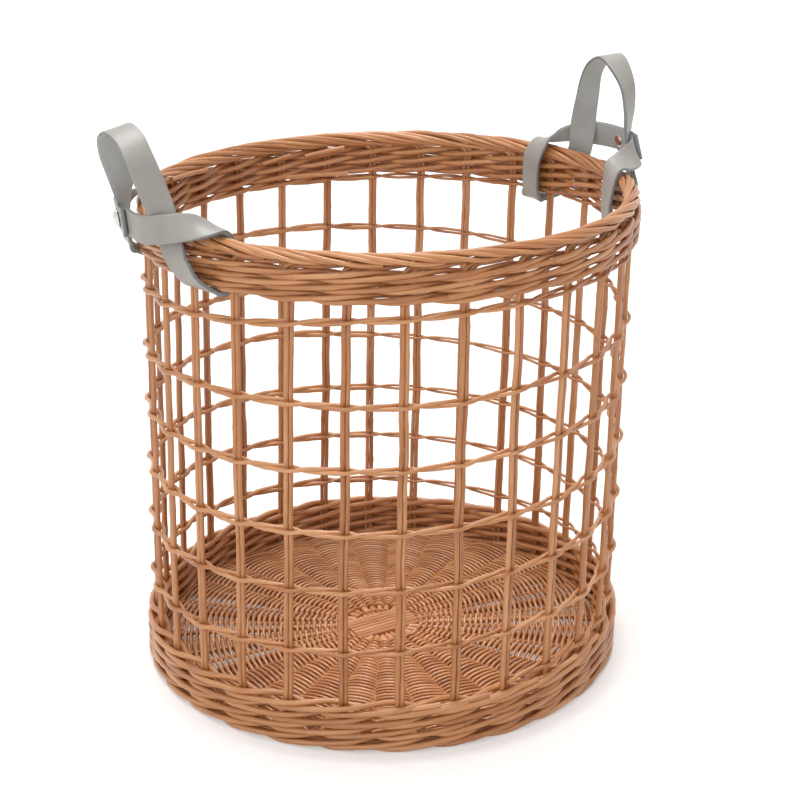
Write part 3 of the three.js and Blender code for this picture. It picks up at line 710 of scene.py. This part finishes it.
# Each strap's line from one lapped end to the other: millimetres along the rim, outside the stakes
# and above the border, then the direction of the strap's width in the same three.
HANDLES = (
    {
        "name": "handle_left",
        "turn": math.pi,
        "rivet": (-24, 22.1, 4.2),
        "knots": (
            (-52, 17.5, 4, 0, 0.15, 1), (-33, 20.8, 4, 0, 0.15, 1), (-14, 23.6, 4.5, 0, 0.1, 1),
            (15.6, 25.2, 5.3, 0, 0, 1), (36.3, 21.4, 9.8, -0.1, -0.15, 1),
            (54, 16.6, 14, -0.35, -0.4, 0.85), (61.8, 8.8, 14, -0.75, -0.35, 0.5),
            (66.8, -3.8, 11.2, -0.97, -0.1, 0.05), (68, -11.8, -3, -1, -0.05, 0.03),
            (69.5, -11.8, -20, -1, 0, 0), (69, -8, -31.8, -1, 0, 0), (64.2, 0.3, -35, -1, 0, 0),
            (58.5, 12, -27.2, -1, 0, 0.1), (46, 15.4, -15.9, -1, 0, 0.15),
            (34.5, 15, 0.3, -0.97, 0.2, 0), (30.2, 15.9, 15, -0.85, 0.5, -0.1),
            (25.8, 19.8, 31.1, -0.5, 1, -0.23), (22.2, 24.5, 47.1, -0.28, 1, -0.23),
            (16.4, 27.5, 61.5, 0, 1, -0.23), (5.8, 28.2, 71.4, 0, 1, -0.23),
            (-9.4, 30.2, 75.3, 0, 1, -0.23), (-19.9, 31.4, 67.8, 0, 1, -0.23),
            (-23.9, 29.4, 55.4, 0, 1, -0.23), (-24.2, 25.7, 42, 0.28, 1, -0.23),
            (-26.3, 21.7, 28.1, 0.55, 1, -0.23), (-32.2, 18.4, 15.1, 0.88, 0.45, -0.1),
            (-35.9, 16.6, 0, 0.97, 0.2, 0), (-46.9, 15, -15.9, 1, 0, 0.15),
            (-58.4, 11.9, -27.9, 1, 0, 0.1), (-64.8, 1, -35.5, 1, 0, 0),
            (-69.5, -8, -32.5, 1, 0, 0), (-73, -13, -22, 1, 0, 0), (-74, -12.5, -5, 1, -0.1, 0.1),
            (-73, -6.2, 10.4, 0.98, -0.1, 0.1), (-66, 3.5, 11.2, 0.88, -0.3, 0.3),
            (-58.5, 13, 7.5, 0.3, -0.4, 0.85), (-50, 20.9, 4.5, 0, 0.15, 1),
            (-32, 24.3, 4, 0, 0.15, 1), (-8, 28, 4.5, 0, 0.1, 1),
        ),
    },
    {
        "name": "handle_right",
        "turn": 0.0,
        "rivet": (-17, 21.4, 19.8),
        "knots": (
            (-46.4, 20.8, 20.8, 0, -0.25, 1), (-29, 23.7, 20.2, 0, -0.25, 1),
            (-12.9, 25.4, 19.4, 0, -0.25, 1), (9.5, 25.7, 18.5, 0, -0.25, 1),
            (30.5, 21.5, 17, -0.1, -0.35, 1), (36.5, 12.1, 16.2, -0.45, -0.5, 0.75),
            (43.5, 4.5, 13.2, -0.65, -0.5, 0.6), (49.8, -6, 10.2, -0.95, -0.14, 0.12),
            (55.8, -11.8, -2.7, -0.97, -0.2, 0.02), (57.4, -12, -17.9, -0.95, -0.3, 0),
            (57.8, -9.4, -36.8, -0.95, -0.3, 0), (60.4, 0, -42.25, -0.97, -0.15, 0),
            (51.8, 12.4, -35.5, -1, 0, 0.1), (39.4, 14.8, -16.4, -1, 0, 0.15),
            (26.6, 14.1, 0, -0.97, 0.2, 0), (23.6, 14.2, 15, -0.88, 0.45, -0.1),
            (20.2, 11.9, 33, -0.45, 1, 0.04), (16.3, 11, 52, -0.2, 1, 0.04),
            (12.3, 10.3, 70, 0, 1, 0.04), (2.6, 9, 83.5, 0, 1, 0.04),
            (-12.9, 9.4, 90.2, 0, 1, 0.04), (-27, 9.7, 83.4, 0.35, 1, 0.04),
            (-36.3, 12.7, 69.4, 0.75, 1, 0.04), (-39.4, 14, 52.1, 1.0, 1, 0.04),
            (-40, 13.6, 33, 1.45, 1, 0.04), (-40.5, 15.4, 16.1, 0.88, 0.35, -0.1),
            (-43.8, 16, 1, 0.97, 0.2, 0), (-50.2, 15.5, -13, 1, 0, 0.15),
            (-57.6, 12.2, -35, 1, 0, 0.1), (-63, 0, -42.25, 1, 0, 0), (-67.5, -9, -39.2, 1, 0, 0),
            (-71, -13, -22, 1, 0, 0), (-72, -12.5, -6, 1, -0.1, 0.1),
            (-68, -7.7, 9.8, 0.97, -0.12, 0.12), (-60, 4.4, 13.2, 0.74, -0.42, 0.5),
            (-52.5, 14.2, 16.4, 0.3, -0.4, 0.85), (-45.5, 17.5, 19.3, 0, -0.25, 1),
            (-28.4, 20.4, 19.7, 0, -0.25, 1), (-10.3, 22.1, 19.8, 0, -0.25, 1),
        ),
    },
)


def strap_line(handle):
    """Centre points in metres and width directions, evenly spaced along the strap."""
    knots = np.array(handle["knots"], float)
    turn = handle["turn"] + knots[:, 0] / WALL_R
    at = on_wall(turn, knots[:, 1], BORDER_Z + knots[:, 2])
    along = np.stack([-np.sin(turn), np.cos(turn), 0 * turn], axis=-1)
    out = np.stack([np.cos(turn), np.sin(turn), 0 * turn], axis=-1)
    wide = along * knots[:, 3:4] + out * knots[:, 4:5] + np.array([0, 0, 1.0]) * knots[:, 5:6]
    # The curve goes through every knot and takes its slopes from the knots before and after.
    points, widths = [], []
    last = len(at) - 1
    for i in range(last):
        before = at[i - 1] if i else 2 * at[0] - at[1]
        after = at[i + 2] if i + 2 <= last else 2 * at[last] - at[last - 1]
        p = np.array([before, at[i], at[i + 1], after])
        d = np.sqrt(np.linalg.norm(np.diff(p, axis=0), axis=1))
        leave = ((p[1] - p[0]) / d[0] - (p[2] - p[0]) / (d[0] + d[1]) + (p[2] - p[1]) / d[1]) * d[1]
        enter = ((p[2] - p[1]) / d[1] - (p[3] - p[1]) / (d[1] + d[2]) + (p[3] - p[2]) / d[2]) * d[1]
        for t in np.linspace(0, 1, KNOT_STEPS, endpoint=(i == last - 1)):
            points.append(
                (2 * t**3 - 3 * t**2 + 1) * p[1] + (t**3 - 2 * t**2 + t) * leave
                + (-2 * t**3 + 3 * t**2) * p[2] + (t**3 - t**2) * enter
            )
            widths.append(wide[i] * (1 - t) + wide[i + 1] * t)
    points, widths = np.array(points), np.array(widths)
    steps = np.linalg.norm(np.diff(points, axis=0), axis=1)
    length = np.concatenate([[0], np.cumsum(steps)])
    even = np.linspace(0, length[-1], int(length[-1] / (MM * STRAP_STEP)) + 1)
    points = np.stack([np.interp(even, length, points[:, j]) for j in range(3)], axis=-1)
    widths = np.stack([np.interp(even, length, widths[:, j]) for j in range(3)], axis=-1)
    for _ in range(3):
        widths[1:-1] = (widths[:-2] + widths[1:-1] + widths[2:]) / 3
    return points, widths


def leather_faces(name, hexes, roughness, pores_apart, bump_height, sheen):
    """One face of the strap's leather: grain, flesh or dyed edge, by its colours and texture."""
    made = bpy.data.materials.new(name)
    made.use_nodes = True
    tree = made.node_tree
    tree.nodes.clear()
    place = add_node(tree, "ShaderNodeTexCoord")
    # Clouds 26 mm across, pores or crumbs as far apart as given, and a fine nap.
    cloud = add_node(
        tree,
        "ShaderNodeTexNoise",
        {"Vector": place.outputs["Object"], "Scale": 38.0, "Detail": 4.0, "Roughness": 0.55},
    )
    pores = add_node(
        tree,
        "ShaderNodeTexVoronoi",
        {"Vector": place.outputs["Object"], "Scale": 1000.0 / pores_apart},
        feature="SMOOTH_F1",
    )
    nap = add_node(
        tree,
        "ShaderNodeTexNoise",
        {"Vector": place.outputs["Object"], "Scale": 1400.0, "Detail": 3.0, "Roughness": 0.7},
    )
    ramp = add_node(tree, "ShaderNodeValToRGB", {0: cloud.outputs[0]})
    ramp.color_ramp.elements[0].position = 0.3
    ramp.color_ramp.elements[0].color = linear(hexes[0])
    ramp.color_ramp.elements[1].position = 0.7
    ramp.color_ramp.elements[1].color = linear(hexes[1])
    nap_shade = {"From Min": 0.3, "From Max": 0.7, "To Min": -0.07, "To Max": 0.07}
    fibre = add_node(tree, "ShaderNodeMapRange", {"Value": nap.outputs[0], **nap_shade})
    value = add_node(tree, "ShaderNodeMath", {0: fibre.outputs[0], 1: 1.0}, operation="ADD")
    tint = add_node(
        tree, "ShaderNodeHueSaturation", {"Color": ramp.outputs[0], "Value": value.outputs[0]}
    )
    relief = add_node(
        tree,
        "ShaderNodeMath",
        {0: nap.outputs[0], 1: 0.6, 2: pores.outputs["Distance"]},
        operation="MULTIPLY_ADD",
    )
    bump = add_node(
        tree,
        "ShaderNodeBump",
        {"Strength": 0.5, "Distance": bump_height, "Height": relief.outputs[0]},
    )
    surface = add_node(
        tree,
        "ShaderNodeBsdfPrincipled",
        {
            "Base Color": tint.outputs[0],
            "Roughness": roughness,
            "Normal": bump.outputs[0],
            "IOR": 1.5,
            "Sheen Weight": sheen,
            "Sheen Roughness": 0.5,
        },
    )
    add_node(tree, "ShaderNodeOutputMaterial", {"Surface": surface.outputs[0]})
    return made


# Grey leather: the grain side is warm and half shiny, the flesh side is paler, cool and dull.
leather_grain = leather_faces("leather_grain_side", ("#9B9690", "#A7A39D"), 0.42, 0.9, 0.00008, 0.0)
leather_flesh = leather_faces("leather_flesh_side", ("#A6A9A7", "#B6B9B6"), 0.85, 0.6, 0.0003, 0.3)
leather_edge = leather_faces("leather_dyed_edge", ("#72787A", "#8A9090"), 0.5, 0.8, 0.0001, 0.0)


def make_strap(handle):
    """The strap as a mesh: a flat section with rounded arrises, skinned along its line."""
    points, widths = strap_line(handle)
    forward = np.gradient(points, axis=0)
    forward /= np.linalg.norm(forward, axis=1, keepdims=True)
    side = widths - np.sum(widths * forward, axis=1, keepdims=True) * forward
    side /= np.linalg.norm(side, axis=1, keepdims=True)
    face = np.cross(forward, side)
    # Once round the section, from the dyed edge over the grain side and back by the flesh side.
    a, b, r = STRAP_W / 2, STRAP_T / 2, ARRIS_R
    section = []
    for x, y, start in ((a, b, 0), (-a, b, 90), (-a, -b, 180), (a, -b, 270)):
        x, y = x - math.copysign(r, x), y - math.copysign(r, y)
        for bend in (0, 30, 60, 90):
            angle = math.radians(start + bend)
            section.append((x + r * math.cos(angle), y + r * math.sin(angle)))
        if start in (0, 180):
            sign = 1 if start == 0 else -1
            section += [(sign * across, sign * b) for across in FACE_LINES]
    section = MM * np.array(section)
    on_side = side[:, None, :] * section[None, :, :1]
    on_face = face[:, None, :] * section[None, :, 1:]
    verts = points[:, None, :] + on_side + on_face
    grain, flesh, edge = range(3)
    around = len(section)
    rows = len(points)
    faces, kinds, strip = [], [], []
    for j in range(around):
        k = (j + 1) % around
        middle = (section[j] + section[k])[1] / 2
        flat = abs(middle) > MM * (b - 0.3)
        kinds.append(edge if not flat else flesh if middle < 0 else grain)
    for i in range(rows - 1):
        low, high = i * around, (i + 1) * around
        for j in range(around):
            k = (j + 1) % around
            faces.append((low + j, low + k, high + k, high + j))
            strip.append(kinds[j])
    faces.append(tuple(range(around))[::-1])
    faces.append(tuple((rows - 1) * around + j for j in range(around)))
    strip += [edge, edge]
    mesh = bpy.data.meshes.new(handle["name"])
    mesh.from_pydata(verts.reshape(-1, 3).tolist(), [], faces)
    for material in (leather_grain, leather_flesh, leather_edge):
        mesh.materials.append(material)
    mesh.polygons.foreach_set("material_index", strip)
    mesh.polygons.foreach_set("use_smooth", [True] * len(faces))
    mesh.update()
    piece = bpy.data.objects.new(f"{handle['name']}_leather", mesh)
    bpy.context.scene.collection.objects.link(piece)
    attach(piece, handle["name"])
    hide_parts(f"{handle['name']}_strap")
    return points, forward, side


strap_lines = [make_strap(handle) for handle in HANDLES]

# The rivets. Each lap is closed by a screw rivet: a domed cap of polished nickel outside, with a
# hollow barrel through both layers, and a slotted copper screw in a nickel washer inside. All are
# turned parts.
CAP_R = 7.2
HEAD_R = 4.4
HEAD_H = 1.5
SLOT_W = 1.0
SLOT_TURN = math.radians(25)
# How far a part's own level of 0 lies from the middle of the inner layer of leather.
CAP_LIFT = 1.5 * STRAP_T + 0.45
SCREW_LIFT = -STRAP_T / 2 - 0.05
TURNED_SIDES = 64
CAP_PROFILE = (
    (0.0, -0.8), (1.7, -0.8), (1.7, -6.2), (2.5, -6.2), (2.5, -0.1),
    (CAP_R - 0.3, -0.1), (CAP_R, 0.15), (CAP_R, 0.55), (CAP_R - 0.25, 0.85),
    (6.4, 1.35), (5.6, 2.1), (4.6, 2.85), (3.4, 3.45), (2.1, 3.8), (0.9, 3.95), (0.0, 4.0),
)
HEAD_PROFILE = (
    (0.0, -HEAD_H), (HEAD_R - 0.55, -HEAD_H), (HEAD_R - 0.2, -1.25), (HEAD_R, -0.9), (HEAD_R, 0.0),
    (1.6, 0.0), (1.6, 5.5), (0.0, 5.5),
)
WASHER_BORE = HEAD_R + 0.05
WASHER_PROFILE = (
    (WASHER_BORE, -0.7), (5.1, -0.75), (5.6, -0.55), (5.75, -0.25), (5.6, 0.0),
    (WASHER_BORE, 0.0), (WASHER_BORE, -0.7),
)


def metal(name, colour, roughness, scratch):
    """Plated metal, with fine wiping marks in its roughness."""
    made = bpy.data.materials.new(name)
    made.use_nodes = True
    tree = made.node_tree
    tree.nodes.clear()
    place = add_node(tree, "ShaderNodeTexCoord")
    marks = add_node(
        tree,
        "ShaderNodeTexNoise",
        {"Vector": place.outputs["Object"], "Scale": 900.0, "Detail": 3.0, "Distortion": 0.6},
    )
    uneven = add_node(
        tree,
        "ShaderNodeMapRange",
        {"Value": marks.outputs[0], "To Min": roughness, "To Max": roughness + scratch},
    )
    dull = add_node(
        tree,
        "ShaderNodeMix",
        {"Factor": marks.outputs[0], 6: linear(colour[0]), 7: linear(colour[1])},
        data_type="RGBA",
    )
    surface = add_node(
        tree,
        "ShaderNodeBsdfPrincipled",
        {"Base Color": dull.outputs[2], "Metallic": 1.0, "Roughness": uneven.outputs[0]},
    )
    add_node(tree, "ShaderNodeOutputMaterial", {"Surface": surface.outputs[0]})
    return made


nickel = metal("polished_nickel", ("#C9C8C4", "#E2E1DE"), 0.12, 0.18)
copper = metal("copper_plate", ("#9A6444", "#C08A66"), 0.28, 0.2)


def turned(name, profile, material):
    """A turned part about Z in millimetres, from its half section of (radius, height) points."""
    verts, faces = [], []
    for radius, height in profile:
        for j in range(TURNED_SIDES):
            angle = 2 * math.pi * j / TURNED_SIDES
            verts.append((radius * math.cos(angle), radius * math.sin(angle), height))
    for i in range(len(profile) - 1):
        low, high = i * TURNED_SIDES, (i + 1) * TURNED_SIDES
        for j in range(TURNED_SIDES):
            k = (j + 1) % TURNED_SIDES
            faces.append((low + j, low + k, high + k, high + j))
    mesh = bpy.data.meshes.new(name)
    mesh.from_pydata(verts, [], faces)
    mesh.materials.append(material)
    made = bpy.data.objects.new(name, mesh)
    bpy.context.scene.collection.objects.link(made)
    # The points on the axis, and those where a profile ends on its start, become one.
    weld = made.modifiers.new("weld", "WELD")
    weld.merge_threshold = 0.001
    return made


for handle, (points, forward, side) in zip(HANDLES, strap_lines):
    along, out, above = handle["rivet"]
    turn = handle["turn"] + along / WALL_R
    target = on_wall(turn, out, BORDER_Z + above)
    at = int(np.argmin(np.linalg.norm(points - target, axis=1)))
    radial = Vector((math.cos(turn), math.sin(turn), 0))
    axis = Vector(np.cross(forward[at], side[at])).normalized()
    if axis.dot(radial) < 0:
        axis = -axis
    across = Vector(side[at]).normalized()
    facing = Matrix((across, axis.cross(across), axis)).transposed().to_4x4()
    for part, profile, lift, material, slot in (
        ("rivet_cap", CAP_PROFILE, CAP_LIFT, nickel, "rivet_nickel"),
        ("rivet_screw", HEAD_PROFILE, SCREW_LIFT, copper, "rivet_copper"),
    ):
        made = turned(f"{handle['name']}_{part}_metal", profile, material)
        if part == "rivet_screw":
            # The slot is milled before the washer is laid round the head.
            bpy.ops.mesh.primitive_cube_add(size=1.0)
            cutter = bpy.context.object
            cutter.data.transform(Matrix.Diagonal((SLOT_W, 2.6 * HEAD_R, 1.6, 1)))
            slot_turn = Matrix.Rotation(SLOT_TURN, 4, "Z")
            cutter.data.transform(Matrix.Translation((0, 0, -HEAD_H)) @ slot_turn)
            milled = made.modifiers.new("slot", "BOOLEAN")
            milled.object = cutter
            milled.operation = "DIFFERENCE"
            made = keep_as_mesh(made)
            bpy.data.objects.remove(cutter)
            washer = keep_as_mesh(turned("washer", WASHER_PROFILE, nickel))
            bpy.ops.object.select_all(action="DESELECT")
            washer.select_set(True)
            made.select_set(True)
            bpy.context.view_layer.objects.active = made
            bpy.ops.object.join()
        else:
            made = keep_as_mesh(made)
        place = Matrix.Translation(Vector(points[at]) + axis * (lift * MM))
        made.data.transform(place @ facing @ Matrix.Scale(MM, 4))
        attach(made, handle["name"])
        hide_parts(f"{handle['name']}_{part}")

# The floor, the light and the camera. The floor is plain and nearly white, and what the camera sees
# of it past the basket's shadow is white paper. Soft light comes from above and a little from
# behind, with a weaker one at the front left, and the camera stands where it stood for the picture.
WHITE_LIFT = 0.35
SKY_LIGHT = 0.5
floor_mesh = bpy.data.meshes.new("floor")
floor_mesh.from_pydata([(-6, -6, 0), (6, -6, 0), (6, 6, 0), (-6, 6, 0)], [], [(0, 1, 2, 3)])
floor = bpy.data.objects.new("floor", floor_mesh)
bpy.context.scene.collection.objects.link(floor)
floor_paint = bpy.data.materials.new("white_paper_floor")
floor_paint.use_nodes = True
paint_tree = floor_paint.node_tree
paper = paint_tree.nodes["Principled BSDF"]
paper.inputs["Base Color"].default_value = linear("#DAD8D6")
paper.inputs["Roughness"].default_value = 0.8
paper.inputs["Specular IOR Level"].default_value = 0.0
paper.inputs["Emission Color"].default_value = linear("#FFFFFF")
rays = add_node(paint_tree, "ShaderNodeLightPath")
seen = add_node(
    paint_tree,
    "ShaderNodeMath",
    {0: rays.outputs["Is Camera Ray"], 1: rays.outputs["Is Glossy Ray"]},
    operation="MAXIMUM",
)
lift = add_node(
    paint_tree, "ShaderNodeMath", {0: seen.outputs[0], 1: WHITE_LIFT}, operation="MULTIPLY"
)
paint_tree.links.new(lift.outputs[0], paper.inputs["Emission Strength"])
floor_mesh.materials.append(floor_paint)

world = bpy.data.worlds.new("white_studio")
bpy.context.scene.world = world
world.use_nodes = True
sky_tree = world.node_tree
sky = sky_tree.nodes["Background"]
sky.inputs["Color"].default_value = linear("#FFFFFF")
sky_rays = add_node(sky_tree, "ShaderNodeLightPath")
sky_seen = add_node(
    sky_tree,
    "ShaderNodeMath",
    {0: sky_rays.outputs["Is Camera Ray"], 1: sky_rays.outputs["Is Glossy Ray"]},
    operation="MAXIMUM",
)
sky_level = add_node(
    sky_tree,
    "ShaderNodeMapRange",
    {"Value": sky_seen.outputs[0], "To Min": SKY_LIGHT, "To Max": 1.0},
)
sky_tree.links.new(sky_level.outputs[0], sky.inputs["Strength"])


def soft_sun(name, came_from, spread, power):
    """A wide, soft light from one direction, the same all over the floor."""
    lamp = bpy.data.lights.new(name, "SUN")
    lamp.angle = math.radians(spread)
    lamp.energy = power
    made = bpy.data.objects.new(name, lamp)
    made.rotation_euler = Vector(came_from).to_track_quat("Z", "Y").to_euler()
    made.location = came_from
    bpy.context.scene.collection.objects.link(made)


VIEW_TURN = math.radians(-29.2)
view_turn = Matrix.Rotation(VIEW_TURN, 3, "Z")
soft_sun("overhead", view_turn @ Vector((-0.08, 0.36, 1.5)), 32, 2.4)
soft_sun("front", view_turn @ Vector((-0.7, -1.4, 0.8)), 60, 0.85)

# As fitted to the picture: where the camera stood in metres, its turns in radians and its focal
# length in pixels.
STOOD_AT = Vector((0, -1.39851, 0.75243))
PITCH, YAW, ROLL = 0.3671, 0.0127, -0.0089
FOCAL_PIXELS = 1800.46
PICTURE_PIXELS = 800
SENSOR_W = 36.0
level = math.cos(PITCH)
ahead = Vector((math.sin(YAW) * level, math.cos(YAW) * level, -math.sin(PITCH)))
right = Vector((math.cos(YAW), -math.sin(YAW), 0))
up = right.cross(ahead)
right_rolled = math.cos(ROLL) * right + math.sin(ROLL) * up
up_rolled = -math.sin(ROLL) * right + math.cos(ROLL) * up
columns = [view_turn @ v for v in (right_rolled, up_rolled, -ahead)]
base_shift = -0.5 * LEAN * MM * Vector((math.cos(LEAN_TURN), math.sin(LEAN_TURN), 0))
lens = bpy.data.cameras.new("camera")
lens.sensor_width = SENSOR_W
lens.lens = FOCAL_PIXELS / PICTURE_PIXELS * SENSOR_W
camera = bpy.data.objects.new("camera", lens)
eye = Matrix.Translation(view_turn @ STOOD_AT + base_shift)
camera.matrix_world = eye @ Matrix(columns).transposed().to_4x4()
bpy.context.scene.collection.objects.link(camera)
bpy.context.scene.camera = camera
bpy.context.scene.view_settings.view_transform = "Standard"
